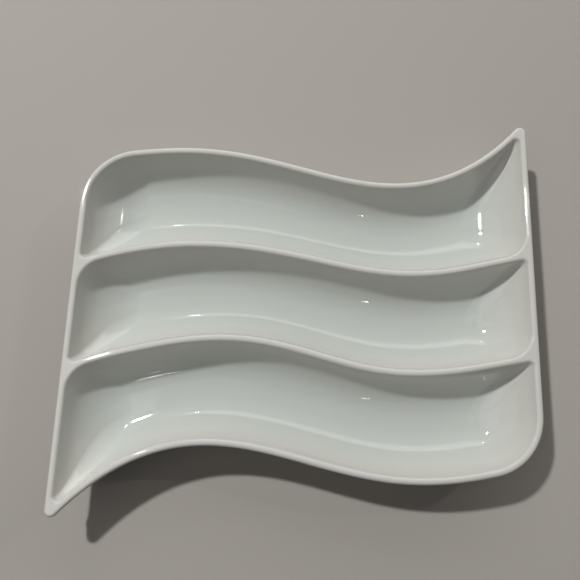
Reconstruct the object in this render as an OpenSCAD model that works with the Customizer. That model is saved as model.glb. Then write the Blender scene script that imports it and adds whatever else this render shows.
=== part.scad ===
// Wave-edged serving dish with three troughs side by side, in white glazed porcelain.
// The dish is fired as one piece. It is drawn here as its form parts, which meet face to face:
// three troughs, two dividers, a rolled rim in four lengths, and a bare foot ring under each trough.
// X runs along the troughs, Y from the front edge to the rear edge, Z up from the table.
// The front edge and the front divider are the rear ones turned by half a turn about Z, but the
// two rear corners reach a little further out than the front ones.

/* [Whole dish] */
// Length over the two end rims
length = 300; // [260:5:340]
// Height of the rim above the table
height = 38; // [32:1:46]
// Half of the distance between the mean lines of the rear edge and the front edge
edge_y = 95.5; // [90:0.1:102]
// Thickness of the troughs' walls, and width of the rolled rim
wall = 4.4; // [3.6:0.1:5]
// Thickness of a trough's floor along its middle line
floor_t = 4; // [3.4:0.1:5]

/* [Wave of the outer edge] */
// Swing of the rear edge to each side of its mean line
edge_swing = 11.2; // [6:0.1:13]
// Length of one half wave of the rear edge
edge_half_wave = 140.6; // [125:0.1:155]
// Rise of the rear edge at its pointed corner
tip_rise = 39.4; // [24:0.2:42]
// How late the rear edge and the rear divider turn up at their right ends
tip_power = 7.2; // [6:0.1:9]
// How far the rear corner on the left reaches beyond the front one opposite
left_reach = 5.6; // [0:0.1:7]
// How far the rear corner on the right reaches beyond the front one opposite
right_reach = 2.5; // [0:0.1:4]
// How close to the rear corners that reach sets in
reach_power = 3; // [2:0.1:5]

/* [Dividers] */
// Half of the distance between the mean lines of the two dividers
divider_y = 31.4; // [29:0.1:34]
// Width of a divider's crest
divider_w = 4.4; // [4:0.1:5]
// Swing of a divider to each side of its mean line
divider_swing = 8.2; // [5:0.1:10]
// Length of one half wave of a divider
divider_half_wave = 122; // [112:0.1:135]
// Shift of a divider's wave towards the left end
divider_shift = 4.7; // [0:0.1:10]
// Rise of the rear divider at its right end
divider_rise = 3; // [0:0.2:5]

/* [Troughs] */
// Run of a trough's end slope, from the middle line's end to the inside of the end rim
end_run = 36.5; // [30:0.5:40]
// Half of a trough's width, which the sections' slopes are worked out for
half_w = 28.4; // [26:0.2:30]
// Squareness of the section across a trough, where 2 is an ellipse
section_power = 2.5; // [2.2:0.1:2.9]
// Squareness of the slope up to a trough's ends
end_power = 2; // [1.9:0.1:2.5]
// Lean of the wall's top from upright, in degrees
wall_lean = 6; // [3:1:10]
// Radius of the roll at each edge of the rim and the crests
roll_r = 1.8; // [1.4:0.1:1.9]

/* [Corners in plan] */
// Radius of the dish's two rounded outer corners
corner_r = 38.8; // [34:0.2:42]
// Radius of the nose at the dish's two pointed corners
tip_r = 4; // [3.5:0.5:5]
// Radius inside a trough's pointed corners
sharp_r = 4; // [3.5:0.5:5]
// Radius inside a trough's blunt corners
blunt_r = 12; // [10:1:14]

/* [Foot rings] */
// Height of the foot rings
foot_h = 4; // [3:0.5:6]
// Distance from a trough's middle line to the outside of its foot ring
foot_reach = 11.4; // [10:0.2:11.6]
// Width of a foot ring's land
foot_w = 4; // [3:0.5:5]

/* [Hidden] */

glaze = [0.86, 0.88, 0.86];
bisque = [0.90, 0.87, 0.82];

// Counts of facets
side_steps = 20;   // along a trough's straight part
turn_steps = 3;    // along a side, from there to the corner
corner_steps = 6;  // round a corner, an even number
end_steps = 3;     // along an end, between its corners
section_rows = 9;  // from the floor's middle to the top of the wall
cut_row = 5;       // row at which a trough meets its rim and its divider
flat_rows = 2;     // rows of the underside that lie flat, for the foot ring
roll_rows = 3;     // round a roll
foot_steps = 8;    // round the end of a foot ring

spine_x = length / 2 - wall - end_run;
inner_x = length / 2 - wall;
slope_share = 0.001;
slope_step = length * slope_share;
turn = 180;
square = 90;

// Curves of the plan: 0 the rear edge, 1 the rear divider, 2 the front divider, 3 the front edge
function late(x) = pow(max(x + length / 2, 0) / length, tip_power);
function edge(x) = edge_y - edge_swing * sin(turn * x / edge_half_wave) + tip_rise * late(x);
function reach(x) =
    (x < 0 ? left_reach : right_reach) * pow(abs(x) / (length / 2), reach_power);
function crest(x) = divider_y
    - divider_swing * sin(turn * (x + divider_shift) / divider_half_wave) + divider_rise * late(x);
function curve(n, x) = n == 0 ? edge(x) + reach(x) : n == 1 ? crest(x) :
    n == 2 ? -crest(-x) : -edge(-x);
function slope(n, x) = atan2(curve(n, x + slope_step) - curve(n, x - slope_step), 2 * slope_step);
// Unit vector across curve n at x, pointing up the plan for side 1 and down it for side -1
function across(n, x, side) = side * [-sin(slope(n, x)), cos(slope(n, x))];
// Point of curve n, with the curves moved so that the two pointed corners are equally far out
function on_curve(n, x) = [x, curve(n, x) - centre_y];

// Trough c lies between curve c, its side 1, and curve c + 1, its side -1
function side_curve(c, side) = side > 0 ? c : c + 1;
function on_outline(n) = n == 0 || n == 3;
function inset(n) = on_outline(n) ? wall : divider_w / 2;
function wall_point(c, side, x) = on_curve(side_curve(c, side), x)
    - inset(side_curve(c, side)) * across(side_curve(c, side), x, side);
function spine_point(c, x) = (wall_point(c, 1, x) + wall_point(c, -1, x)) / 2;

// Corner roundings: the arc between curve n, set in by gap, and the line x = end * far
function touch_x(n, side, end, far, gap, r, x, tries = 6) = tries == 0 ? x :
    touch_x(n, side, end, far, gap, r,
        end * (far - r) + (gap + r) * across(n, x, side)[0], tries - 1);
function start_touch(n, side, end, far, gap, r) =
    touch_x(n, side, end, far, gap, r, end * (far - r));
// Y of the middle of a pointed corner's nose before the curves are moved
function nose_y(n, side, end) = let (x = start_touch(n, side, end, length / 2, 0, tip_r))
    curve(n, x) - tip_r * across(n, x, side)[1];
centre_y = (nose_y(0, 1, 1) + nose_y(3, -1, -1)) / 2;
function arc_angle(n, side, end, x, share) =
    let (
        first = atan2(across(n, x, side)[1], across(n, x, side)[0]),
        last = end > 0 ? 0 : side * turn
    ) first + (last - first) * share;
function arc_centre(n, side, x, gap, r) = on_curve(n, x) - (gap + r) * across(n, x, side);
function unit(angle) = [cos(angle), sin(angle)];

function inner_r(c, side, end) = side * end > 0 ? sharp_r :
    on_outline(side_curve(c, side)) ? outer_r(side, end) - wall : blunt_r;
function outer_r(side, end) = side * end > 0 ? tip_r : corner_r;
function inner_touch(c, side, end) = let (n = side_curve(c, side))
    start_touch(n, side, end, inner_x, inset(n), inner_r(c, side, end));
// Where the two troughs beside a divider start their corners, on average
function crest_turn(n, end) = (inner_touch(n - 1, -1, end) + inner_touch(n, 1, end)) / 2;
function mix(a, b, share) = a + (b - a) * share;

// A column is one line of the surface, out from the spine across the wall and the rim. It holds
// the spine point, the wall point, the wall's outward unit vector, the thickness vector,
// the land's far point with its outward unit vector, its kind and its share of an end's slope.
// Kind 0 is at the outer edge, 1 at a divider's crest, 2 where a crest's line meets that edge.
function side_column(c, side, x) =
    let (n = side_curve(c, side), out = across(n, x, side))
    [spine_point(c, x), wall_point(c, side, x), out, wall * out, on_curve(n, x), out,
        on_outline(n) ? 0 : 1, 0];

function turn_column(c, side, end, i) =
    let (
        n = side_curve(c, side),
        share = i / turn_steps,
        x = mix(end * spine_x, inner_touch(c, side, end), share),
        out = across(n, x, side),
        p = wall_point(c, side, x),
        far_x = on_outline(n)
            ? mix(end * spine_x,
                start_touch(n, side, end, length / 2, 0, outer_r(side, end)), share)
            : mix(end * spine_x, crest_turn(n, end), share),
        far = on_curve(n, far_x)
    )
    [spine_point(c, end * spine_x), p, out, on_outline(n) ? far - p : wall * out, far,
        across(n, far_x, side), on_outline(n) ? 0 : 1, 0];

function corner_column(c, side, end, i) =
    let (
        n = side_curve(c, side),
        share = i / corner_steps,
        r = inner_r(c, side, end),
        x = inner_touch(c, side, end),
        out = unit(arc_angle(n, side, end, x, share)),
        centre = arc_centre(n, side, x, inset(n), r),
        p = centre + r * out,
        R = outer_r(side, end),
        X = start_touch(n, side, end, length / 2, 0, R),
        Out = unit(arc_angle(n, side, end, X, share)),
        crest_end = on_curve(n, end * length / 2),
        far = on_outline(n) ? arc_centre(n, side, X, 0, R) + R * Out
            : share <= 1 / 2 ? on_curve(n, mix(crest_turn(n, end), end * length / 2, 2 * share))
            : [end * length / 2, mix(crest_end[1], centre[1], 2 * share - 1)]
    )
    [spine_point(c, end * spine_x), p, out,
        on_outline(n) || share > 1 / 2 ? far - p : wall * out, far,
        on_outline(n) ? Out : [end, 0],
        on_outline(n) || share > 1 / 2 ? 0 : share == 1 / 2 ? 2 : 1, share];

function corner_y(c, side, end) = let (n = side_curve(c, side))
    arc_centre(n, side, inner_touch(c, side, end), inset(n), inner_r(c, side, end))[1];

function end_column(c, end, from_side, i) =
    let (
        y = mix(corner_y(c, from_side, end), corner_y(c, -from_side, end), i / end_steps),
        p = [end * inner_x, y]
    )
    [spine_point(c, end * spine_x), p, [end, 0], [end * wall, 0], p + [end * wall, 0],
        [end, 0], 0, 1];

// Columns run anticlockwise round a trough: along side -1, round the right end,
// back along side 1 and round the left end
function side_columns(c, side) =
    [for (i = [0:side_steps]) side_column(c, side, -side * mix(-spine_x, spine_x, i / side_steps))];
function fan_columns(c, end) = concat(
    [side_column(c, -end, end * spine_x)],
    [for (i = [1:turn_steps]) turn_column(c, -end, end, i)],
    [for (i = [1:corner_steps]) corner_column(c, -end, end, i)],
    [for (i = [1:end_steps]) end_column(c, end, -end, i)],
    [for (i = [corner_steps - 1:-1:0]) corner_column(c, end, end, i)],
    [for (i = [turn_steps - 1:-1:1]) turn_column(c, end, end, i)],
    [side_column(c, end, end * spine_x)]
);
function inner_of(list) = [for (i = [1:len(list) - 2]) list[i]];
function ring_columns(c) = concat(
    side_columns(c, -1), inner_of(fan_columns(c, 1)),
    side_columns(c, 1), inner_of(fan_columns(c, -1))
);

// Section: a row is an angle from the floor's middle, 0, up to the top of the wall.
// It goes over from the side wall's shape to the end slope's as part goes from 0 to 1.
wall_z = height - roll_r * (1 - sin(wall_lean));
floor_z = foot_h + floor_t;
top_angle = square - wall_lean;
function row_angle(row) = top_angle * row / section_rows;
function bend(part) = 2 / mix(section_power, end_power, part);
function run_share(angle, part) = pow(sin(angle) / sin(top_angle), bend(part));
function drop_share(angle, part) =
    (pow(cos(angle), bend(part)) - pow(cos(top_angle), bend(part)))
    / (1 - pow(cos(top_angle), bend(part)));
function inner_z(angle, part) = wall_z - (wall_z - floor_z) * drop_share(angle, part);
// Outward and downward parts of the section's unit normal
function section_normal(angle, part) = angle == 0 ? [0, 1] :
    let (
        a = angle - 1 / 2,
        b = min(angle + 1 / 2, square),
        run = mix(half_w, end_run, part) * (run_share(b, part) - run_share(a, part)),
        rise = inner_z(b, part) - inner_z(a, part)
    ) [rise, run] / norm([rise, run]);
function outer_z(row, part) = row <= flat_rows ? foot_h :
    inner_z(row_angle(row), part) - wall * section_normal(row_angle(row), part)[1];
// How far the outer face lies inside the edge of the rim, at a row
function outer_inset(row, part) =
    mix(half_w, end_run, part) * (1 - run_share(row_angle(row), part))
    + wall * (1 - section_normal(row_angle(row), part)[0]);

function raise(p, z) = [p[0], p[1], z];
function top_point(col, row) =
    raise(mix(col[0], col[1], run_share(row_angle(row), col[7])), inner_z(row_angle(row), col[7]));
function under_point(col, row) = raise(
    mix(col[0], col[1], run_share(row_angle(row), col[7]))
        + section_normal(row_angle(row), col[7])[0] * col[3],
    outer_z(row, col[7]));
// Roll from the wall's top over to the flat land, as an angle from the level
function roll_angle(i) = mix(wall_lean, square, i / roll_rows);
function inner_roll(col, i) = raise(
    col[1] + roll_r * (cos(wall_lean) - cos(roll_angle(i))) * col[2],
    height - roll_r * (1 - sin(roll_angle(i))));
function outer_roll(col, i) = raise(
    col[4] - roll_r * (1 - sin(square * i / roll_rows)) * col[5],
    height - roll_r * (1 - cos(square * i / roll_rows)));
outer_rows = roll_rows + 2;
function outer_side(col, i) =
    col[6] == 1 ? raise(col[4], mix(height, outer_z(section_rows - 2, col[7]), i / outer_rows)) :
    i <= roll_rows ? outer_roll(col, i) :
    let (row = section_rows - i + roll_rows)
    raise(col[4] - outer_inset(row, col[7]) * col[5], outer_z(row, col[7]));

// Loop of points round the rim's or a half divider's section, from the cut row up the wall,
// over the rim, down the outer face and back under to the cut row
function rim_loop(col) = concat(
    [for (row = [cut_row:section_rows]) top_point(col, row)],
    [for (i = [1:roll_rows]) inner_roll(col, i)],
    [for (i = [0:outer_rows]) outer_side(col, i)],
    [for (row = [section_rows - 3:-1:cut_row]) under_point(col, row)]
);
rim_n = 2 * (section_rows - cut_row + roll_rows) + 2;
land_at = section_rows - cut_row + roll_rows + 1;
function trough_loop(col) = concat(
    [for (row = [0:cut_row]) top_point(col, row)],
    [for (row = [cut_row:-1:0]) under_point(col, row)]
);
trough_n = 2 * (cut_row + 1);

// Faces of a strip of columns, with the seam between the two halves of a divider left open
function seam(cols, i, row) =
    row >= land_at && row < land_at + outer_rows && cols[i][6] > 0 && cols[i + 1][6] > 0;
function strip_faces(cols, base) = [
    for (i = [0:len(cols) - 2], row = [0:rim_n - 1]) if (!seam(cols, i, row))
        let (
            a = base + i * rim_n + row,
            b = base + i * rim_n + (row + 1) % rim_n
        ) each [[a, a + rim_n, b + rim_n], [a, b + rim_n, b]]
];
// End face of a strip, as a ladder between the upper and the lower half of its loop
function cap_faces(at, first) = [
    for (j = [0:rim_n / 2 - 2])
        let (a = at + j, b = at + j + 1, c = at + rim_n - 2 - j, d = at + rim_n - 1 - j)
        each first ? [[a, b, d], [b, c, d]] : [[a, d, b], [b, d, c]]
];
function strip_set(strips, i) = i == 0 ? 0 : strip_set(strips, i - 1) + len(strips[i - 1]) * rim_n;

module rim_body(strips) {
    color(glaze)
        polyhedron(
            points = [for (cols = strips, col = cols) each rim_loop(col)],
            faces = [for (s = [0:len(strips) - 1])
                let (cols = strips[s], base = strip_set(strips, s))
                each concat(
                    strip_faces(cols, base),
                    cap_faces(base, true),
                    cap_faces(base + (len(cols) - 1) * rim_n, false)
                )],
            convexity = 8
        );
}

// A trough below its cut row: the shell's inside, its cut edge and its underside
function trough_quad(cols, i, row) =
    let (
        next = (i + 1) % len(cols),
        a = i * trough_n + row,
        b = a + 1,
        c = next * trough_n + row + 1,
        d = c - 1,
        fan = norm(cols[i][0] - cols[next][0]) < slope_step
    )
    row == cut_row ? [[a, d, b], [b, d, c]] :
    row == 0 && fan ? [[a, c, b]] :
    row == trough_n - 2 && fan ? [[a, d, c]] :
    [[a, d, c], [a, c, b]];

module trough_body(c) {
    cols = ring_columns(c);
    color(glaze)
        polyhedron(
            points = [for (col = cols) each trough_loop(col)],
            faces = [for (i = [0:len(cols) - 1], row = [0:trough_n - 2])
                each trough_quad(cols, i, row)],
            convexity = 6
        );
}

// Outline at a set distance round a trough's spine
function spine_side(c, reach, side) = [
    for (i = [0:side_steps])
        let (
            x = -side * mix(-spine_x, spine_x, i / side_steps),
            step = spine_point(c, x + slope_step) - spine_point(c, x - slope_step)
        ) spine_point(c, x) + side * reach * [-step[1], step[0]] / norm(step)
];
function spine_end(c, reach, end) =
    let (
        at = spine_point(c, end * spine_x),
        step = spine_point(c, end * (spine_x + slope_step))
            - spine_point(c, end * (spine_x - slope_step)),
        middle = atan2(step[1], step[0])
    ) [for (i = [1:foot_steps - 1])
        at + reach * unit(middle - square + turn * i / foot_steps)];
function round_spine(c, reach) = concat(
    spine_side(c, reach, -1), spine_end(c, reach, 1),
    spine_side(c, reach, 1), spine_end(c, reach, -1)
);

module foot_body(c) {
    color(bisque)
        linear_extrude(foot_h)
            difference() {
                polygon(round_spine(c, foot_reach));
                polygon(round_spine(c, foot_reach - foot_w));
            }
}

module rear_compartment() { trough_body(0); }
module middle_compartment() { trough_body(1); }
module front_compartment() { trough_body(2); }
module rear_divider() { rim_body([side_columns(0, -1), side_columns(1, 1)]); }
module front_divider() { rim_body([side_columns(1, -1), side_columns(2, 1)]); }
module rear_rim() { rim_body([side_columns(0, 1)]); }
module front_rim() { rim_body([side_columns(2, -1)]); }
module left_rim() { rim_body([for (c = [0:2]) fan_columns(c, -1)]); }
module right_rim() { rim_body([for (c = [0:2]) fan_columns(c, 1)]); }
module rear_foot() { foot_body(0); }
module middle_foot() { foot_body(1); }
module front_foot() { foot_body(2); }

rear_compartment();
middle_compartment();
front_compartment();
rear_divider();
front_divider();
rear_rim();
front_rim();
left_rim();
right_rim();
rear_foot();
middle_foot();
front_foot();
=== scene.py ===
import math

import bmesh
import bpy
from mathutils import Euler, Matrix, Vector


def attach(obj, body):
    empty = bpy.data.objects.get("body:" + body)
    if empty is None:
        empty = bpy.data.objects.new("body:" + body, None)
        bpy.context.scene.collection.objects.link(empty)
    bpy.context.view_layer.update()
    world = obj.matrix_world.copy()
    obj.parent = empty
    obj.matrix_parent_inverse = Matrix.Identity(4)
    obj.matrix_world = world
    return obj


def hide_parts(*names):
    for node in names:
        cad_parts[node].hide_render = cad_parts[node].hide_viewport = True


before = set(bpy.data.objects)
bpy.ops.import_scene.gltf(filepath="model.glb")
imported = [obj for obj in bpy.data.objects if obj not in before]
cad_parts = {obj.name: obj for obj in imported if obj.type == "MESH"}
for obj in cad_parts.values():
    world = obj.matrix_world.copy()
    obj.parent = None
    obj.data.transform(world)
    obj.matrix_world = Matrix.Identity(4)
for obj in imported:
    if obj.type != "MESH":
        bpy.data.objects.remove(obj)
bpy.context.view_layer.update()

bl_info = {
    "name": "Divided serving dish",
    "version": (1, 0, 0),
    "blender": (4, 5, 0),
    "location": "3D View > Sidebar > Dish",
    "description": "Glazed dish with three wave-edged troughs, built over its packed frame",
    "category": "Object",
}

GLAZE_SLOT = "glaze"
CLAY_SLOT = "bisque"
MATERIAL_NAMES = {GLAZE_SLOT: "pooled_glaze", CLAY_SLOT: "bare_clay"}

# Lines of the plan, from the rear edge to the front edge. Trough c lies between line c and c + 1.
REAR_EDGE, REAR_CREST, FRONT_CREST, FRONT_EDGE = range(4)
TROUGHS = ("rear_compartment", "middle_compartment", "front_compartment")
DIVIDERS = ("rear_divider", "front_divider")
FEET = ("rear_foot", "middle_foot", "front_foot")

# Kinds of column: at the outer edge, at a divider's crest, where a crest meets the outer edge
EDGE, CREST, MEETING = range(3)

# Counts of facets. A row of the section is a quarter of a row of the solid part's section.
SIDE_STEPS = 80      # along a trough's straight part
TURN_STEPS = 8       # along a side, from there to the corner
CORNER_STEPS = 16    # round a corner, an even number
END_STEPS = 14       # along an end, between its corners
ROWS = 36            # from the floor's middle to the top of the wall
CUT_ROW = 20         # row at which a trough meets its rim and its divider
FLAT_ROW = 8         # last row of the underside that lies flat, for the foot ring
SHELL_ROW = 12       # row from which the underside follows the wall
UNDER_ROW = 24       # row up to which the underside follows the wall
APEX_ROW = 28        # row at which the undersides of two troughs meet under a crest
ROLL_ROWS = 8        # round a roll
OUTER_ROWS = ROLL_ROWS + ROWS - APEX_ROW
TOUCH_TRIES = 8      # rounds of the search for a corner's start
FOOT_SEGMENTS = 3    # round an edge of a foot ring's land
NORMAL_PARTS = 4     # a normal is taken over one such part of a row to each side
SLOPE_PARTS = 1000   # a line's slope is taken over one such part of the length to each side

VALLEY_SHARE = 0.6   # share of the depth at which a trough's corners are at their roundest

# Noises of the finishes: waves per metre, detail, roughness
CLOUDS = (22, 4, 0.6)
WEAR = (60, 3, 0.5)
RIPPLES = (45, 2, 0.5)
SKIN = (420, 2, 0.5)
GRAIN = (1500, 4, 0.65)

# Bumps of the finishes: height in metres, strength
RIPPLE_BUMP = (0.0004, 0.35)
SKIN_BUMP = (0.00003, 0.3)
GRAIN_BUMP = (0.0002, 0.4)

NOISE_RANGE = (0.3, 0.7)     # values of a noise between which the glaze changes
GRAIN_RANGE = (0.42, 0.62)   # values of a noise between which the clay changes
THINNING = (0.04, 0.7)       # shares of the height over the floor between which the glaze thins
HEIGHT_THINNESS = 0.92       # thinness that the glaze gains with height
CLOUD_THINNESS = 0.16        # most thinness that clouds add
WEAR_RANGE = (0.75, 1.3)     # shares of the glaze's set roughness that it varies between
GLAZE_IOR = 1.5
COAT_WEIGHT = 0.35
COAT_ROUGHNESS = 0.03
CLAY_ROUGHNESS = 0.85
FLOOR_ROUGHNESS = 0.9

LAMPS = ("main", "soft", "left", "side", "glint", "streak")
SENSOR_WIDTH = 36            # of the camera, in millimetres

UP = Vector((0, 0, 1))
SEAM_GAP = 1e-6      # points closer than this are one
TINY = 1e-12


class DishSizes(bpy.types.PropertyGroup):
    """Sizes of the dish"""

    length: bpy.props.FloatProperty(
        name="Length", description="Length over the two end rims",
        default=0.3, unit="LENGTH")
    height: bpy.props.FloatProperty(
        name="Height", description="Height of the rim above the table",
        default=0.038, unit="LENGTH")
    edge_y: bpy.props.FloatProperty(
        name="Edge line", description="Half of the distance between the two edges' mean lines",
        default=0.0955, unit="LENGTH")
    wall: bpy.props.FloatProperty(
        name="Wall", description="Thickness of the walls and width of the rolled rim",
        default=0.0044, unit="LENGTH")
    floor_thickness: bpy.props.FloatProperty(
        name="Floor thickness", description="Thickness of a trough's floor along its middle line",
        default=0.004, unit="LENGTH")
    edge_swing: bpy.props.FloatProperty(
        name="Edge swing", description="Swing of the rear edge to each side of its mean line",
        default=0.0112, unit="LENGTH")
    edge_half_wave: bpy.props.FloatProperty(
        name="Edge half wave", description="Length of one half wave of the rear edge",
        default=0.1406, unit="LENGTH")
    tip_rise: bpy.props.FloatProperty(
        name="Tip rise", description="Rise of the rear edge at its pointed corner",
        default=0.0394, unit="LENGTH")
    tip_power: bpy.props.FloatProperty(
        name="Tip power", description="How late the rear edge and divider turn up on the right",
        default=7.2)
    left_reach: bpy.props.FloatProperty(
        name="Left reach",
        description="Reach of the rear corner on the left beyond the front one",
        default=0.0056, unit="LENGTH")
    right_reach: bpy.props.FloatProperty(
        name="Right reach",
        description="Reach of the rear corner on the right beyond the front one",
        default=0.0025, unit="LENGTH")
    reach_power: bpy.props.FloatProperty(
        name="Reach power", description="How close to the rear corners their reach sets in",
        default=3.0)
    divider_y: bpy.props.FloatProperty(
        name="Divider line", description="Half of the distance between the dividers' mean lines",
        default=0.0314, unit="LENGTH")
    divider_width: bpy.props.FloatProperty(
        name="Divider width", description="Width of a divider's crest",
        default=0.0044, unit="LENGTH")
    divider_swing: bpy.props.FloatProperty(
        name="Divider swing", description="Swing of a divider to each side of its mean line",
        default=0.0082, unit="LENGTH")
    divider_half_wave: bpy.props.FloatProperty(
        name="Divider half wave", description="Length of one half wave of a divider",
        default=0.122, unit="LENGTH")
    divider_shift: bpy.props.FloatProperty(
        name="Divider shift", description="Shift of a divider's wave towards the left end",
        default=0.0047, unit="LENGTH")
    divider_rise: bpy.props.FloatProperty(
        name="Divider rise", description="Rise of the rear divider at its right end",
        default=0.003, unit="LENGTH")
    divider_bow: bpy.props.FloatProperty(
        name="Divider bow",
        description="Bow of both dividers towards the rear edge, near their middles",
        default=0.0028, unit="LENGTH")
    bow_reach: bpy.props.FloatProperty(
        name="Bow reach", description="Distance from a bow's middle to where it ends",
        default=0.085, unit="LENGTH")
    rear_bow_x: bpy.props.FloatProperty(
        name="Rear bow", description="Place of the middle of the rear divider's bow",
        default=0.013, unit="LENGTH")
    front_bow_x: bpy.props.FloatProperty(
        name="Front bow", description="Place of the middle of the front divider's bow",
        default=-0.022, unit="LENGTH")
    divider_droop: bpy.props.FloatProperty(
        name="Divider droop",
        description="Turn of both dividers towards the front edge at their left ends",
        default=0.005, unit="LENGTH")
    droop_power: bpy.props.FloatProperty(
        name="Droop power", description="How close to their left ends the dividers turn",
        default=20.0)
    end_run: bpy.props.FloatProperty(
        name="End run", description="Run of a trough's end slope",
        default=0.0365, unit="LENGTH")
    half_width: bpy.props.FloatProperty(
        name="Half width",
        description="Half of a trough's width, which the slopes are worked out for",
        default=0.0284, unit="LENGTH")
    section_power: bpy.props.FloatProperty(
        name="Section power", description="Squareness of the section across a trough",
        default=2.5)
    end_power: bpy.props.FloatProperty(
        name="End power", description="Squareness of the slope up to a trough's ends",
        default=2.0)
    wall_lean: bpy.props.FloatProperty(
        name="Wall lean", description="Lean of the wall's top from upright",
        default=math.radians(21), subtype="ANGLE", unit="ROTATION")
    roll_radius: bpy.props.FloatProperty(
        name="Roll radius", description="Radius of the roll at each edge of the rim and the crests",
        default=0.0021, unit="LENGTH")
    corner_radius: bpy.props.FloatProperty(
        name="Corner radius", description="Radius of the two rounded outer corners",
        default=0.0388, unit="LENGTH")
    tip_radius: bpy.props.FloatProperty(
        name="Tip radius", description="Radius of the nose at the two pointed corners",
        default=0.004, unit="LENGTH")
    sharp_radius: bpy.props.FloatProperty(
        name="Sharp radius", description="Radius inside a trough's pointed corners",
        default=0.003, unit="LENGTH")
    blunt_radius: bpy.props.FloatProperty(
        name="Blunt radius", description="Radius inside a trough's blunt corners",
        default=0.018, unit="LENGTH")
    valley_growth: bpy.props.FloatProperty(
        name="Valley growth",
        description="How much rounder a trough's corners are down at its floor",
        default=0.014, unit="LENGTH")
    foot_height: bpy.props.FloatProperty(
        name="Foot height", description="Height of the foot rings",
        default=0.004, unit="LENGTH")
    foot_reach: bpy.props.FloatProperty(
        name="Foot reach",
        description="Distance from a trough's middle line to its foot ring's outside",
        default=0.0114, unit="LENGTH")
    foot_width: bpy.props.FloatProperty(
        name="Foot width", description="Width of a foot ring's land",
        default=0.004, unit="LENGTH")
    foot_round: bpy.props.FloatProperty(
        name="Foot round", description="Rounding of a foot ring's land",
        default=0.0005, unit="LENGTH")


class DishFinish(bpy.types.PropertyGroup):
    """Colours and gloss of the dish"""

    pooled_glaze: bpy.props.FloatVectorProperty(
        name="Pooled glaze", description="Colour where the glaze lies thick, in the troughs",
        subtype="COLOR", size=4, default=(0.575, 0.615, 0.573, 1))
    thin_glaze: bpy.props.FloatVectorProperty(
        name="Thin glaze", description="Colour where the glaze is thin, on rim and crests",
        subtype="COLOR", size=4, default=(0.665, 0.65, 0.605, 1))
    bare_clay: bpy.props.FloatVectorProperty(
        name="Bare clay", description="Colour of the unglazed foot rings",
        subtype="COLOR", size=4, default=(0.78, 0.74, 0.67, 1))
    sanded_clay: bpy.props.FloatVectorProperty(
        name="Sanded clay", description="Colour of the foot rings' darker grains",
        subtype="COLOR", size=4, default=(0.62, 0.57, 0.49, 1))
    gloss_roughness: bpy.props.FloatProperty(
        name="Glaze roughness", description="Roughness of the glaze",
        default=0.05, min=0, max=1, subtype="FACTOR")


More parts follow.
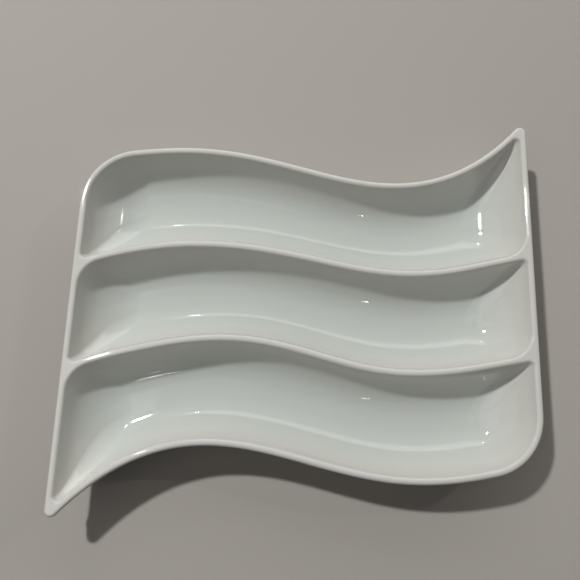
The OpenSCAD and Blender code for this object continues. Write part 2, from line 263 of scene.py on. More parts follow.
class DishStage(bpy.types.PropertyGroup):
    """Floor, lamps and camera"""

    floor_colour: bpy.props.FloatVectorProperty(
        name="Floor", description="Colour of the pale floor",
        subtype="COLOR", size=4, default=(0.43, 0.4, 0.365, 1))
    floor_size: bpy.props.FloatProperty(
        name="Floor size", description="Side of the floor", default=3, unit="LENGTH")
    world_strength: bpy.props.FloatProperty(
        name="World strength", description="Strength of the even light from all round",
        default=0.03)
    backdrop: bpy.props.FloatProperty(
        name="Backdrop", description="Brightness of the plain backdrop behind the floor",
        default=0.6)
    main_power: bpy.props.FloatProperty(
        name="Main power", description="Power of the main lamp",
        default=30, unit="POWER")
    main_size: bpy.props.FloatVectorProperty(
        name="Main size", description="Width and height of the main lamp",
        size=2, subtype="XYZ_LENGTH", default=(0.11, 0.11))
    main_place: bpy.props.FloatVectorProperty(
        name="Main place", description="Place of the main lamp, behind the dish on its left",
        size=3, subtype="TRANSLATION", default=(-0.938, 0.844, 1.802))
    soft_power: bpy.props.FloatProperty(
        name="Soft power", description="Power of the broad lamp behind the dish",
        default=27, unit="POWER")
    soft_size: bpy.props.FloatVectorProperty(
        name="Soft size", description="Width and height of the broad lamp behind the dish",
        size=2, subtype="XYZ_LENGTH", default=(4, 1.8))
    soft_place: bpy.props.FloatVectorProperty(
        name="Soft place", description="Place of the broad lamp behind the dish",
        size=3, subtype="TRANSLATION", default=(0.880, 2.416, 1.545))
    left_power: bpy.props.FloatProperty(
        name="Left power", description="Power of the broad lamp on the left",
        default=7, unit="POWER")
    left_size: bpy.props.FloatVectorProperty(
        name="Left size", description="Width and height of the broad lamp on the left",
        size=2, subtype="XYZ_LENGTH", default=(2, 2))
    left_place: bpy.props.FloatVectorProperty(
        name="Left place", description="Place of the broad lamp on the left",
        size=3, subtype="TRANSLATION", default=(-1.410, -0.513, 2.598))
    side_power: bpy.props.FloatProperty(
        name="Side power", description="Power of the small lamp on the right",
        default=4, unit="POWER")
    side_size: bpy.props.FloatVectorProperty(
        name="Side size", description="Width and height of the small lamp on the right",
        size=2, subtype="XYZ_LENGTH", default=(0.03, 0.03))
    side_place: bpy.props.FloatVectorProperty(
        name="Side place", description="Place of the small lamp on the right",
        size=3, subtype="TRANSLATION", default=(2.059, 1.095, 1.888))
    glint_power: bpy.props.FloatProperty(
        name="Glint power", description="Power of the tiny lamp in front",
        default=0.6, unit="POWER")
    glint_size: bpy.props.FloatVectorProperty(
        name="Glint size", description="Width and height of the tiny lamp in front",
        size=2, subtype="XYZ_LENGTH", default=(0.12, 0.05))
    glint_place: bpy.props.FloatVectorProperty(
        name="Glint place", description="Place of the tiny lamp in front of the dish",
        size=3, subtype="TRANSLATION", default=(0.089, -2.543, 1.590))
    streak_power: bpy.props.FloatProperty(
        name="Streak power", description="Power of the tiny lamp behind",
        default=0.8, unit="POWER")
    streak_size: bpy.props.FloatVectorProperty(
        name="Streak size", description="Width and height of the tiny lamp behind",
        size=2, subtype="XYZ_LENGTH", default=(0.08, 0.04))
    streak_place: bpy.props.FloatVectorProperty(
        name="Streak place", description="Place of the tiny lamp behind the dish",
        size=3, subtype="TRANSLATION", default=(-0.691, 2.261, 1.847))
    camera_place: bpy.props.FloatVectorProperty(
        name="Camera place", description="Place of the camera over the table",
        size=3, subtype="TRANSLATION", default=(-0.01807, -0.07797, 0.41226))
    camera_turn: bpy.props.FloatVectorProperty(
        name="Camera turn", description="Turn of the camera about X, Y and Z",
        size=3, subtype="EULER",
        default=(math.radians(13.1235), math.radians(-1.6609), math.radians(1.7781)))
    camera_lens: bpy.props.FloatProperty(
        name="Camera lens", description="Focal length in millimetres for the sensor's width",
        default=37.24, unit="CAMERA")


def mix(a, b, share):
    """Point or number the given share of the way from a to b."""
    return a + (b - a) * share


def ease(share):
    """Share between 0 and 1 with a soft start and end."""
    share = min(max(share, 0), 1)
    return share * share * (3 - 2 * share)


def unit(angle):
    """Unit vector of the plan at an angle from +X."""
    return Vector((math.cos(angle), math.sin(angle)))


class Plan:
    """The dish seen from above, in metres."""

    def __init__(self, sizes):
        self.s = sizes
        self.half = sizes.length / 2
        self.inner_x = self.half - sizes.wall
        self.spine_x = self.inner_x - sizes.end_run
        self.step = sizes.length / SLOPE_PARTS
        self.centre_y = (self.nose_y(REAR_EDGE, 1, 1) + self.nose_y(FRONT_EDGE, -1, -1)) / 2

    def late(self, x):
        """Share of the upturn that has set in at x, up to 1 at the right end."""
        return (max(x + self.half, 0) / self.s.length) ** self.s.tip_power

    def rear_edge(self, x):
        wave = self.s.edge_swing * math.sin(math.pi * x / self.s.edge_half_wave)
        return self.s.edge_y - wave + self.s.tip_rise * self.late(x)

    def rear_crest(self, x):
        wave = math.sin(math.pi * (x + self.s.divider_shift) / self.s.divider_half_wave)
        return self.s.divider_y - self.s.divider_swing * wave + self.s.divider_rise * self.late(x)

    def reach(self, x):
        """How far the rear edge lies beyond the front edge after a half turn."""
        most = self.s.left_reach if x < 0 else self.s.right_reach
        return most * (abs(x) / self.half) ** self.s.reach_power

    def bow(self, x, middle):
        """How far to the rear a divider bows round a place, less its turn at the left end."""
        droop = self.s.divider_droop * (max(self.half - x, 0) / self.s.length) ** self.s.droop_power
        return self.s.divider_bow * (1 - ease(abs(x - middle) / self.s.bow_reach)) - droop

    def line(self, n, x):
        """Y of plan line n before the lines are centred. The front lines are rear ones turned."""
        if n == REAR_EDGE:
            return self.rear_edge(x) + self.reach(x)
        if n == REAR_CREST:
            return self.rear_crest(x) + self.bow(x, self.s.rear_bow_x)
        if n == FRONT_CREST:
            return -self.rear_crest(-x) + self.bow(x, self.s.front_bow_x)
        return -self.rear_edge(-x)

    def nose_y(self, n, side, end):
        """Y of the middle of a pointed corner's nose before the lines are centred."""
        x = self.touch(n, side, end, self.half, 0, self.s.tip_radius)
        return self.line(n, x) - self.s.tip_radius * self.across(n, x, side).y

    def point(self, n, x):
        return Vector((x, self.line(n, x) - self.centre_y))

    def across(self, n, x, side):
        """Unit vector across line n at x, up the plan for side 1 and down it for side -1."""
        rise = self.line(n, x + self.step) - self.line(n, x - self.step)
        return Vector((-rise, 2 * self.step)).normalized() * side

    def side_line(self, c, side):
        return c if side > 0 else c + 1

    def on_outline(self, n):
        return n in (REAR_EDGE, FRONT_EDGE)

    def inset(self, n):
        return self.s.wall if self.on_outline(n) else self.s.divider_width / 2

    def wall_point(self, c, side, x):
        n = self.side_line(c, side)
        return self.point(n, x) - self.inset(n) * self.across(n, x, side)

    def spine_point(self, c, x):
        return (self.wall_point(c, 1, x) + self.wall_point(c, -1, x)) / 2

    def touch(self, n, side, end, far, gap, radius):
        """X where the rounding between line n and the end starts."""
        x = end * (far - radius)
        for _ in range(TOUCH_TRIES):
            x = end * (far - radius) + (gap + radius) * self.across(n, x, side).x
        return x

    def rounding(self, n, side, end, x, gap, radius, share):
        """Point of a corner's rounding, its outward unit vector and the rounding's centre."""
        start = self.across(n, x, side)
        first = math.atan2(start.y, start.x)
        last = 0 if end > 0 else side * math.pi
        out = unit(mix(first, last, share))
        centre = self.point(n, x) - (gap + radius) * start
        return centre + radius * out, out, centre

    def inner_radius(self, c, side, end, depth):
        """Radius inside a trough's corner, at a depth from 0 at the rim to 1 at the floor."""
        growth = self.s.valley_growth * ease(depth / VALLEY_SHARE)
        if side * end > 0:
            return self.s.sharp_radius + growth
        if self.on_outline(self.side_line(c, side)):
            return self.s.corner_radius - self.s.wall
        return self.s.blunt_radius + growth

    def outer_radius(self, side, end):
        return self.s.tip_radius if side * end > 0 else self.s.corner_radius

    def inner_touch(self, c, side, end, depth=0):
        n = self.side_line(c, side)
        radius = self.inner_radius(c, side, end, depth)
        return self.touch(n, side, end, self.inner_x, self.inset(n), radius)

    def inner_rounding(self, c, side, end, share, depth=0):
        """Point of the rounding inside a trough's corner, its outward unit vector and centre."""
        n = self.side_line(c, side)
        return self.rounding(
            n, side, end, self.inner_touch(c, side, end, depth), self.inset(n),
            self.inner_radius(c, side, end, depth), share)

    def outer_touch(self, n, side, end):
        return self.touch(n, side, end, self.half, 0, self.outer_radius(side, end))

    def crest_turn(self, n, end):
        """X where the two troughs beside a divider start their corners, on average."""
        return (self.inner_touch(n - 1, -1, end) + self.inner_touch(n, 1, end)) / 2


class Column:
    """One line of the surface, out from the spine across the wall and the rim."""

    def __init__(self, spine, wall_at, out, thick, far, far_out, kind, part):
        self.spine = spine        # point of the trough's middle line
        self.wall_at = wall_at    # gives the point that the line heads for, at a depth
        self.wall = wall_at(0)    # top of the wall's inside
        self.out = out            # unit vector out of the trough there
        self.thick = thick        # vector across the wall
        self.far = far            # far edge of the rim, or the crest's middle
        self.far_out = far_out    # unit vector out of the dish there
        self.kind = kind
        self.part = part          # 0 on a side wall, 1 on an end slope


def side_column(plan, c, side, x):
    n = plan.side_line(c, side)
    out = plan.across(n, x, side)
    wall = plan.wall_point(c, side, x)
    return Column(
        plan.spine_point(c, x), lambda depth: wall, out, plan.s.wall * out,
        plan.point(n, x), out, EDGE if plan.on_outline(n) else CREST, 0)


def turn_column(plan, c, side, end, i):
    n = plan.side_line(c, side)
    share = i / TURN_STEPS
    start = end * plan.spine_x

    def x_at(depth):
        return mix(start, plan.inner_touch(c, side, end, depth), share)

    def wall_at(depth):
        return plan.wall_point(c, side, x_at(depth))

    out = plan.across(n, x_at(0), side)
    on_edge = plan.on_outline(n)
    last_x = plan.outer_touch(n, side, end) if on_edge else plan.crest_turn(n, end)
    far_x = mix(start, last_x, share)
    far = plan.point(n, far_x)
    return Column(
        plan.spine_point(c, start), wall_at, out,
        far - wall_at(0) if on_edge else plan.s.wall * out,
        far, plan.across(n, far_x, side), EDGE if on_edge else CREST, 0)


def corner_column(plan, c, side, end, i):
    n = plan.side_line(c, side)
    share = i / CORNER_STEPS

    def wall_at(depth):
        return plan.inner_rounding(c, side, end, share, depth)[0]

    wall, out, centre = plan.inner_rounding(c, side, end, share)
    kind = EDGE
    far_out = Vector((end, 0))
    meeting_x = end * (plan.half - plan.s.roll_radius)
    if plan.on_outline(n):
        start = plan.outer_touch(n, side, end)
        far, far_out, _ = plan.rounding(
            n, side, end, start, 0, plan.outer_radius(side, end), share)
    elif 2 * i < CORNER_STEPS:
        kind = CREST
        far = plan.point(n, mix(plan.crest_turn(n, end), meeting_x, 2 * share))
    else:
        kind = MEETING if 2 * i == CORNER_STEPS else EDGE
        meeting_y = plan.point(n, meeting_x).y
        far = Vector((end * plan.half, mix(meeting_y, centre.y, 2 * share - 1)))
    along_edge = plan.on_outline(n) or 2 * i > CORNER_STEPS
    return Column(
        plan.spine_point(c, end * plan.spine_x), wall_at, out,
        far - wall if along_edge else plan.s.wall * out, far, far_out, kind, share)


def end_column(plan, c, end, i):
    def wall_at(depth):
        first = plan.inner_rounding(c, -end, end, 0, depth)[2].y
        last = plan.inner_rounding(c, end, end, 0, depth)[2].y
        return Vector((end * plan.inner_x, mix(first, last, i / END_STEPS)))

    out = Vector((end, 0))
    thick = plan.s.wall * out
    return Column(
        plan.spine_point(c, end * plan.spine_x), wall_at, out, thick,
        wall_at(0) + thick, out, EDGE, 1)


def side_columns(plan, c, side):
    """Columns along a trough's straight part. Columns run anticlockwise round a trough."""
    return [side_column(plan, c, side, -side * mix(-plan.spine_x, plan.spine_x, i / SIDE_STEPS))
            for i in range(SIDE_STEPS + 1)]


def fan_columns(plan, c, end):
    """Columns round one end of a trough, with the straight part's last column at each end."""
    x = end * plan.spine_x
    columns = [side_column(plan, c, -end, x)]
    columns += [turn_column(plan, c, -end, end, i) for i in range(1, TURN_STEPS + 1)]
    columns += [corner_column(plan, c, -end, end, i) for i in range(1, CORNER_STEPS + 1)]
    columns += [end_column(plan, c, end, i) for i in range(1, END_STEPS + 1)]
    columns += [corner_column(plan, c, end, end, i) for i in range(CORNER_STEPS - 1, -1, -1)]
    columns += [turn_column(plan, c, end, end, i) for i in range(TURN_STEPS - 1, 0, -1)]
    columns.append(side_column(plan, c, end, x))
    return columns


class Section:
    """Section of the wall. A row is an angle from the floor's middle up to the top of the wall."""

    def __init__(self, sizes):
        self.s = sizes
        self.wall_z = sizes.height - sizes.roll_radius * (1 - math.sin(sizes.wall_lean))
        self.floor_z = sizes.foot_height + sizes.floor_thickness
        self.top_angle = math.pi / 2 - sizes.wall_lean

    def angle(self, row):
        return self.top_angle * row / ROWS

    def bend(self, part):
        return 2 / mix(self.s.section_power, self.s.end_power, part)

    def run_share(self, angle, part):
        return (math.sin(angle) / math.sin(self.top_angle)) ** self.bend(part)

    def inner_z(self, angle, part):
        bend = self.bend(part)
        low = math.cos(self.top_angle) ** bend
        drop = (math.cos(angle) ** bend - low) / (1 - low)
        return self.wall_z - (self.wall_z - self.floor_z) * drop

    def run(self, part):
        return mix(self.s.half_width, self.s.end_run, part)

    def normal(self, angle, part):
        """Outward and downward parts of the section's unit normal."""
        if angle == 0:
            return Vector((0, 1))
        a = angle - self.top_angle / ROWS / NORMAL_PARTS
        b = angle + self.top_angle / ROWS / NORMAL_PARTS
        run = self.run(part) * (self.run_share(b, part) - self.run_share(a, part))
        return Vector((self.inner_z(b, part) - self.inner_z(a, part), run)).normalized()

    def outer_z(self, row, part):
        angle = self.angle(row)
        shell = self.inner_z(angle, part) - self.s.wall * self.normal(angle, part).y
        return mix(self.s.foot_height, shell, ease((row - FLAT_ROW) / (SHELL_ROW - FLAT_ROW)))

    def outer_inset(self, row, part):
        """How far the outer face lies inside the edge of the rim, at a row."""
        angle = self.angle(row)
        return (self.run(part) * (1 - self.run_share(angle, part))
                + self.s.wall * (1 - self.normal(angle, part).x))

    def top_point(self, column, row):
        angle = self.angle(row)
        share = self.run_share(angle, column.part)
        flat = mix(column.spine, column.wall_at(1 - share), share)
        return flat.to_3d() + self.inner_z(angle, column.part) * UP

    def inner_roll(self, column, i):
        """Roll from the wall's top over to the flat land."""
        angle = mix(self.s.wall_lean, math.pi / 2, i / ROLL_ROWS)
        shift = self.s.roll_radius * (math.cos(self.s.wall_lean) - math.cos(angle))
        z = self.s.height - self.s.roll_radius * (1 - math.sin(angle))
        return (column.wall + shift * column.out).to_3d() + z * UP

    def outer_roll(self, column, i):
        angle = math.pi / 2 * i / ROLL_ROWS
        shift = self.s.roll_radius * (1 - math.sin(angle))
        z = self.s.height - self.s.roll_radius * (1 - math.cos(angle))
        return (column.far - shift * column.far_out).to_3d() + z * UP

    def side_point(self, column, row):
        inset = self.outer_inset(row, column.part)
        return (column.far - inset * column.far_out).to_3d() + self.outer_z(row, column.part) * UP

    def shell_point(self, column, row):
        angle = self.angle(row)
        flat = mix(column.spine, column.wall, self.run_share(angle, column.part))
        flat = flat + self.normal(angle, column.part).x * column.thick
        return flat.to_3d() + self.outer_z(row, column.part) * UP

    def apex(self, column):
        return column.far.to_3d() + self.outer_z(APEX_ROW, column.part) * UP

    def outer_point(self, column, i):
        if column.kind == CREST:
            return mix(column.far.to_3d() + self.s.height * UP, self.apex(column), i / OUTER_ROWS)
        if i <= ROLL_ROWS:
            return self.outer_roll(column, i)
        return self.side_point(column, ROWS - i + ROLL_ROWS)

    def under_point(self, column, row):
        if row <= UNDER_ROW:
            return self.shell_point(column, row)
        share = (row - UNDER_ROW) / (APEX_ROW - UNDER_ROW)
        if column.kind == CREST:
            return mix(self.shell_point(column, UNDER_ROW), self.apex(column), share)
        return mix(self.shell_point(column, row), self.side_point(column, row), ease(share))

    def loop(self, column):
        """All points of a column, from the floor over the rim and back under the floor."""
        points = [self.top_point(column, row) for row in range(ROWS + 1)]
        points += [self.inner_roll(column, i) for i in range(1, ROLL_ROWS + 1)]
        points += [self.outer_point(column, i) for i in range(OUTER_ROWS + 1)]
        points += [self.under_point(column, row) for row in range(APEX_ROW - 1, -1, -1)]
        return points


LAND = ROWS + ROLL_ROWS + 1            # place of the land's far point in a loop
APEX = LAND + OUTER_ROWS               # place of the underside's highest point
LOOP = APEX + APEX_ROW + 1             # points in a loop
CUT_TOP, CUT_UNDER = CUT_ROW, LOOP - 1 - CUT_ROW


class Ring:
    """The surface of one trough with its rims: loops of points and of unit normals."""

    def __init__(self, plan, section, c):
        sides = {side: side_columns(plan, c, side) for side in (-1, 1)}
        fans = {end: fan_columns(plan, c, end) for end in (-1, 1)}
        self.columns = sides[-1] + fans[1][1:-1] + sides[1] + fans[-1][1:-1]
        self.points = [section.loop(column) for column in self.columns]
        self.normals = [[self.normal(u, v) for v in range(LOOP)] for u in range(len(self.columns))]
        first_side, fan = len(sides[-1]), len(fans[1]) - 2
        self.spans = {
            "side-1": (0, first_side),
            "end1": (first_side - 1, fan + 2),
            "side1": (first_side + fan, first_side),
            "end-1": (2 * first_side + fan - 1, fan + 2),
            "all": (0, len(self.columns) + 1),
        }

    def normal(self, u, v):
        """Unit normal of the surface at column u and place v of its loop, of either sign."""
        column = self.columns[u]
        if v in (0, LOOP - 1):
            return UP
        if column.kind == CREST and LAND <= v < APEX:
            return UP
        following = (u + 1) % len(self.columns)
        on_outside = LAND < v <= APEX
        a, b = u - 1, following
        if on_outside and column.kind != CREST:
            a = u if self.columns[a].kind == CREST else a
            b = u if self.columns[b].kind == CREST else b
        low = v if column.kind == CREST and v == APEX else v - 1
        along = self.points[b][v] - self.points[a][v]
        across = self.points[u][v + 1] - self.points[u][low]
        out = along.cross(across)
        return out.normalized() if out.length > TINY else UP

    def span(self, name):
        """Column numbers of one stretch of the ring."""
        start, count = self.spans[name]
        return [(start + i) % len(self.columns) for i in range(count)]


class Shell:
    """A closed mesh grown from grids, which are laid on the surface and welded together."""

    def __init__(self):
        self.bm = bmesh.new()
        self.facing = self.bm.loops.layers.float_vector.new("facing")

    def lay(self, ring, span, places, closed_face, open_faces=False):
        """Lays one grid on the ring. The strip closed_face is a flat cut, and seams stay open."""
        made = bmesh.ops.create_grid(
            self.bm, x_segments=len(span) - 1, y_segments=len(places) - 1, size=1)["verts"]
        low = Vector((min(v.co.x for v in made), min(v.co.y for v in made)))
        high = Vector((max(v.co.x for v in made), max(v.co.y for v in made)))
        cells = {}
        for vert in made:
            i = round((vert.co.x - low.x) / (high.x - low.x) * (len(span) - 1))
            j = round((vert.co.y - low.y) / (high.y - low.y) * (len(places) - 1))
            cells[vert] = (i, j)
        for vert, (i, j) in cells.items():
            vert.co = ring.points[span[i]][places[j]]
        seams = []
        for face in {face for vert in made for face in vert.link_faces}:
            corners = [cells[loop.vert] for loop in face.loops]
            j = min(corner[1] for corner in corners)
            face.smooth = j != closed_face
            for loop in face.loops:
                i, k = cells[loop.vert]
                loop[self.facing] = ring.normals[span[i]][places[k]] if face.smooth else Vector()
            kinds = {ring.columns[span[corner[0]]].kind for corner in corners}
            if open_faces and LAND <= places[j] < APEX and EDGE not in kinds:
                seams.append(face)
        bmesh.ops.delete(self.bm, geom=seams, context="FACES")

    def finish(self, name):
        """Welds the grids, closes the ends, turns the faces outwards and makes the object."""
        bmesh.ops.remove_doubles(self.bm, verts=self.bm.verts, dist=SEAM_GAP)
        loose = [vert for vert in self.bm.verts if not vert.link_faces]
        bmesh.ops.delete(self.bm, geom=loose, context="VERTS")
        rims = [edge for edge in self.bm.edges if edge.is_boundary]
        caps = bmesh.ops.holes_fill(self.bm, edges=rims, sides=0)["faces"]
        for face in caps:
            face.smooth = False
            for loop in face.loops:
                loop[self.facing] = Vector()
        bmesh.ops.recalc_face_normals(self.bm, faces=self.bm.faces)
        facing = []
        for face in self.bm.faces:
            for loop in face.loops:
                direction = loop[self.facing].copy()
                facing.append(-direction if direction.dot(face.normal) < 0 else direction)
        self.bm.loops.layers.float_vector.remove(self.facing)
        mesh = bpy.data.meshes.new(name)
        self.bm.to_mesh(mesh)
        self.bm.free()
        mesh.normals_split_custom_set(facing)
        return add_object(name, mesh)


def add_object(name, mesh):
    piece = bpy.data.objects.new(name, mesh)
    bpy.context.scene.collection.objects.link(piece)
    return piece


def place_piece(piece, node, material):
    """Gives a piece its material and lets it stand for a node of the solid part."""
    piece.data.materials.append(material)
    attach(piece, "root")
    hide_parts(node)


def dish_rings(sizes):
    plan, section = Plan(sizes), Section(sizes)
    return [Ring(plan, section, c) for c in range(len(TROUGHS))]


# Places of a loop that a trough and a rim take. The strip after each list's cut is its flat cut.
TROUGH_PLACES = list(range(CUT_TOP + 1)) + list(range(CUT_UNDER, LOOP))
RIM_PLACES = list(range(CUT_TOP, CUT_UNDER + 1)) + [CUT_TOP]
RIM_CUT = len(RIM_PLACES) - 2


def new_material(name):
    """A node material with its shader, ready for links."""
    material = bpy.data.materials.new(name)
    material.use_nodes = True
    tree = material.node_tree
    return material, tree, tree.nodes["Principled BSDF"]


def object_noise(tree, scale, detail, roughness):
    """Noise that is fixed to the piece, in waves per metre."""
    place = tree.nodes.new("ShaderNodeTexCoord")
    noise = tree.nodes.new("ShaderNodeTexNoise")
    noise.inputs["Scale"].default_value = scale
    noise.inputs["Detail"].default_value = detail
    noise.inputs["Roughness"].default_value = roughness
    tree.links.new(place.outputs["Object"], noise.inputs["Vector"])
    return noise.outputs["Fac"]


def ranged(tree, value, low, high, to_low, to_high):
    """Value mapped from one range to another, and held inside it."""
    node = tree.nodes.new("ShaderNodeMapRange")
    node.inputs["From Min"].default_value = low
    node.inputs["From Max"].default_value = high
    node.inputs["To Min"].default_value = to_low
    node.inputs["To Max"].default_value = to_high
    tree.links.new(value, node.inputs["Value"])
    return node.outputs["Result"]


def add_values(tree, a, b):
    node = tree.nodes.new("ShaderNodeMath")
    node.operation = "ADD"
    node.use_clamp = True
    tree.links.new(a, node.inputs[0])
    tree.links.new(b, node.inputs[1])
    return node.outputs["Value"]


def blend_colours(tree, share, first, second):
    node = tree.nodes.new("ShaderNodeMix")
    node.data_type = "RGBA"
    node.inputs["A"].default_value = first
    node.inputs["B"].default_value = second
    tree.links.new(share, node.inputs["Factor"])
    return node.outputs["Result"]


def bump(tree, height, distance, strength, under=None):
    node = tree.nodes.new("ShaderNodeBump")
    node.inputs["Distance"].default_value = distance
    node.inputs["Strength"].default_value = strength
    tree.links.new(height, node.inputs["Height"])
    if under:
        tree.links.new(under, node.inputs["Normal"])
    return node.outputs["Normal"]


def glaze_material(finish, sizes):
    """White glaze, cool and deep where it pools in the troughs, warm where it thins on the rim."""
    material, tree, shader = new_material(MATERIAL_NAMES[GLAZE_SLOT])
    place = tree.nodes.new("ShaderNodeTexCoord")
    parts = tree.nodes.new("ShaderNodeSeparateXYZ")
    tree.links.new(place.outputs["Object"], parts.inputs["Vector"])
    floor_z = sizes.foot_height + sizes.floor_thickness
    low, high = (mix(floor_z, sizes.height, share) for share in THINNING)
    height = ranged(tree, parts.outputs["Z"], low, high, 0, HEIGHT_THINNESS)
    clouds = ranged(tree, object_noise(tree, *CLOUDS), *NOISE_RANGE, 0, CLOUD_THINNESS)
    thinness = add_values(tree, height, clouds)
    colour = blend_colours(tree, thinness, finish.pooled_glaze, finish.thin_glaze)
    tree.links.new(colour, shader.inputs["Base Color"])
    smooth, dull = (share * finish.gloss_roughness for share in WEAR_RANGE)
    wear = ranged(tree, object_noise(tree, *WEAR), *NOISE_RANGE, smooth, dull)
    tree.links.new(wear, shader.inputs["Roughness"])
    shader.inputs["IOR"].default_value = GLAZE_IOR
    shader.inputs["Coat Weight"].default_value = COAT_WEIGHT
    shader.inputs["Coat Roughness"].default_value = COAT_ROUGHNESS
    ripple = bump(tree, object_noise(tree, *RIPPLES), *RIPPLE_BUMP)
    skin = bump(tree, object_noise(tree, *SKIN), *SKIN_BUMP, ripple)
    tree.links.new(skin, shader.inputs["Normal"])
    return material


def clay_material(finish):
    """Bare fired clay, dry and finely grained."""
    material, tree, shader = new_material(MATERIAL_NAMES[CLAY_SLOT])
    grain = object_noise(tree, *GRAIN)
    darkness = ranged(tree, grain, *GRAIN_RANGE, 0, 1)
    colour = blend_colours(tree, darkness, finish.bare_clay, finish.sanded_clay)
    tree.links.new(colour, shader.inputs["Base Color"])
    shader.inputs["Roughness"].default_value = CLAY_ROUGHNESS
    tree.links.new(bump(tree, grain, *GRAIN_BUMP), shader.inputs["Normal"])
    return material


def shared_material(context, slot):
    """The material of a slot of the record, made the first time it is asked for."""
    if MATERIAL_NAMES[slot] in bpy.data.materials:
        return bpy.data.materials[MATERIAL_NAMES[slot]]
    if slot == GLAZE_SLOT:
        return glaze_material(context.scene.dish_finish, context.scene.dish_sizes)
    return clay_material(context.scene.dish_finish)


class DISH_OT_troughs(bpy.types.Operator):
    """Make the three troughs, below their rims"""

    bl_idname = "dish.troughs"
    bl_label = "Troughs"

    def execute(self, context):
        for ring, node in zip(dish_rings(context.scene.dish_sizes), TROUGHS):
            shell = Shell()
            shell.lay(ring, ring.span("all"), TROUGH_PLACES, CUT_ROW)
            piece = shell.finish(node + "_glazed")
            place_piece(piece, node, shared_material(context, GLAZE_SLOT))
        return {"FINISHED"}


class DISH_OT_dividers(bpy.types.Operator):
    """Make the two dividers between the troughs"""

    bl_idname = "dish.dividers"
    bl_label = "Dividers"

    def execute(self, context):
        rings = dish_rings(context.scene.dish_sizes)
        for c, node in enumerate(DIVIDERS):
            shell = Shell()
            for ring, name in ((rings[c], "side-1"), (rings[c + 1], "side1")):
                shell.lay(ring, ring.span(name), RIM_PLACES, RIM_CUT, open_faces=True)
            piece = shell.finish(node + "_glazed")
            place_piece(piece, node, shared_material(context, GLAZE_SLOT))
        return {"FINISHED"}


class DISH_OT_rims(bpy.types.Operator):
    """Make the rolled rim, in its four lengths"""

    bl_idname = "dish.rims"
    bl_label = "Rims"

    def execute(self, context):
        rings = dish_rings(context.scene.dish_sizes)
        stretches = {
            "rear_rim": [(rings[0], "side1")],
            "front_rim": [(rings[-1], "side-1")],
            "left_rim": [(ring, "end-1") for ring in rings],
            "right_rim": [(ring, "end1") for ring in rings],
        }
        for node, parts in stretches.items():
            shell = Shell()
            for ring, name in parts:
                shell.lay(ring, ring.span(name), RIM_PLACES, RIM_CUT, open_faces=True)
            piece = shell.finish(node + "_glazed")
            place_piece(piece, node, shared_material(context, GLAZE_SLOT))
        return {"FINISHED"}


def foot_outline(plan, c, reach):
    """Outline at a set distance round a trough's spine, anticlockwise."""
    points = []
    for end in (1, -1):
        for i in range(SIDE_STEPS + 1):
            x = end * mix(-plan.spine_x, plan.spine_x, i / SIDE_STEPS)
            along = plan.spine_point(c, x + plan.step) - plan.spine_point(c, x - plan.step)
            across = Vector((along.y, -along.x)).normalized()
            points.append(plan.spine_point(c, x) + end * reach * across)
        middle = math.atan2(along.y, along.x) + (0 if end > 0 else math.pi)
        centre = plan.spine_point(c, end * plan.spine_x)
        for i in range(1, CORNER_STEPS):
            points.append(centre + reach * unit(middle - math.pi / 2 + math.pi * i / CORNER_STEPS))
    return points


def foot_loop(bm, outline):
    """A loop of edges on the table along an outline, from a circle."""
    made = bmesh.ops.create_circle(bm, segments=len(outline), radius=1)["verts"]
    made.sort(key=lambda vert: math.atan2(vert.co.y, vert.co.x) % (2 * math.pi))
    for vert, point in zip(made, outline):
        vert.co = point.to_3d()
    return list({edge for vert in made for edge in vert.link_edges})


class DISH_OT_feet(bpy.types.Operator):
    """Make the bare foot ring under each trough"""

    bl_idname = "dish.feet"
    bl_label = "Foot rings"

    def execute(self, context):
        sizes = context.scene.dish_sizes
        plan = Plan(sizes)
        for c, node in enumerate(FEET):
            bm = bmesh.new()
            edges = foot_loop(bm, foot_outline(plan, c, sizes.foot_reach))
            edges += foot_loop(bm, foot_outline(plan, c, sizes.foot_reach - sizes.foot_width))
            land = bmesh.ops.bridge_loops(bm, edges=edges)["faces"]
            raised = bmesh.ops.extrude_face_region(bm, geom=land, use_keep_orig=True)["geom"]
            tops = [item for item in raised if isinstance(item, bmesh.types.BMVert)]
            bmesh.ops.translate(bm, verts=tops, vec=sizes.foot_height * UP)
            rims = [edge for edge in bm.edges
                    if all(vert.co.z < SEAM_GAP for vert in edge.verts)
                    and any(face.calc_center_median().z > SEAM_GAP for face in edge.link_faces)]
            bmesh.ops.bevel(
                bm, geom=rims, offset=sizes.foot_round, affect="EDGES",
                segments=FOOT_SEGMENTS, profile=0.5, material=-1)
            bmesh.ops.recalc_face_normals(bm, faces=bm.faces)
            mesh = bpy.data.meshes.new(node + "_bare")
            bm.to_mesh(mesh)
            bm.free()
            piece = add_object(node + "_bare", mesh)
            place_piece(piece, node, shared_material(context, CLAY_SLOT))
        return {"FINISHED"}


def studio_world(strength, backdrop):
    """A dim even world, which the camera and reflections see as a pale backdrop."""
    world = bpy.data.worlds.new("studio")
    world.use_nodes = True
    tree = world.node_tree
    path = tree.nodes.new("ShaderNodeLightPath")
    seen = add_values(tree, path.outputs["Is Camera Ray"], path.outputs["Is Glossy Ray"])
    seen = add_values(tree, seen, path.outputs["Is Transmission Ray"])
    background = tree.nodes["Background"]
    background.inputs["Color"].default_value = (1, 1, 1, 1)
    tree.links.new(ranged(tree, seen, 0, 1, strength, backdrop), background.inputs["Strength"])
    return world


def add_lamp(name, place, size, power):
    """An area lamp that faces the dish."""
    light = bpy.data.lights.new(name, "AREA")
    light.shape = "RECTANGLE"
    light.size, light.size_y = size
    light.energy = power
    lamp = bpy.data.objects.new(name, light)
    lamp.location = place
    lamp.rotation_euler = (-Vector(place)).to_track_quat("-Z", "Y").to_euler()
    bpy.context.scene.collection.objects.link(lamp)


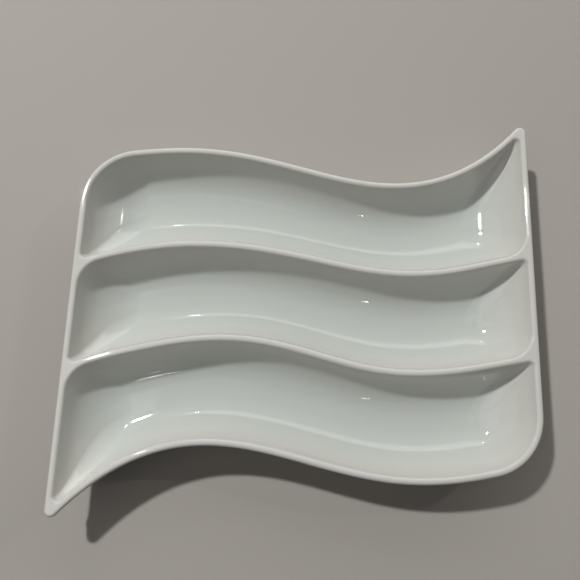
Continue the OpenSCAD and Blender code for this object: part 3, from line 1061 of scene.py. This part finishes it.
class DISH_OT_stage(bpy.types.Operator):
    """Make the pale floor, the lamps, the world and the camera"""

    bl_idname = "dish.stage"
    bl_label = "Stage"

    def execute(self, context):
        stage = context.scene.dish_stage
        bm = bmesh.new()
        bmesh.ops.create_grid(bm, x_segments=1, y_segments=1, size=stage.floor_size / 2)
        mesh = bpy.data.meshes.new("floor")
        bm.to_mesh(mesh)
        bm.free()
        floor = add_object("floor", mesh)
        material, _, shader = new_material("pale_floor")
        shader.inputs["Base Color"].default_value = stage.floor_colour
        shader.inputs["Roughness"].default_value = FLOOR_ROUGHNESS
        floor.data.materials.append(material)

        context.scene.world = studio_world(stage.world_strength, stage.backdrop)
        for lamp in LAMPS:
            add_lamp(lamp + "_lamp", getattr(stage, lamp + "_place"),
                     getattr(stage, lamp + "_size"), getattr(stage, lamp + "_power"))

        data = bpy.data.cameras.new("camera")
        data.lens = stage.camera_lens
        data.sensor_width = SENSOR_WIDTH
        camera = bpy.data.objects.new("camera", data)
        camera.location = stage.camera_place
        camera.rotation_euler = Euler(stage.camera_turn)
        context.scene.collection.objects.link(camera)
        context.scene.camera = camera
        context.scene.view_settings.view_transform = "Standard"
        return {"FINISHED"}


class DISH_PT_panel(bpy.types.Panel):
    """Steps that build the dish, with its sizes and finish"""

    bl_idname = "DISH_PT_panel"
    bl_label = "Divided serving dish"
    bl_space_type = "VIEW_3D"
    bl_region_type = "UI"
    bl_category = "Dish"

    def draw(self, context):
        for operator in STEPS:
            self.layout.operator(operator.bl_idname)
        for name in GROUPS:
            group = getattr(context.scene, name)
            for prop in group.bl_rna.properties:
                if prop.identifier in group.__annotations__:
                    self.layout.prop(group, prop.identifier)


STEPS = (DISH_OT_troughs, DISH_OT_dividers, DISH_OT_rims, DISH_OT_feet, DISH_OT_stage)
GROUPS = {"dish_sizes": DishSizes, "dish_finish": DishFinish, "dish_stage": DishStage}


def register():
    for cls in (*GROUPS.values(), *STEPS, DISH_PT_panel):
        bpy.utils.register_class(cls)
    for name, group in GROUPS.items():
        setattr(bpy.types.Scene, name, bpy.props.PointerProperty(type=group))


def unregister():
    for name in GROUPS:
        delattr(bpy.types.Scene, name)
    for cls in reversed((*GROUPS.values(), *STEPS, DISH_PT_panel)):
        bpy.utils.unregister_class(cls)


def main():
    register()
    bpy.ops.dish.troughs()
    bpy.ops.dish.dividers()
    bpy.ops.dish.rims()
    bpy.ops.dish.feet()
    bpy.ops.dish.stage()


if __name__ == "__main__":
    main()
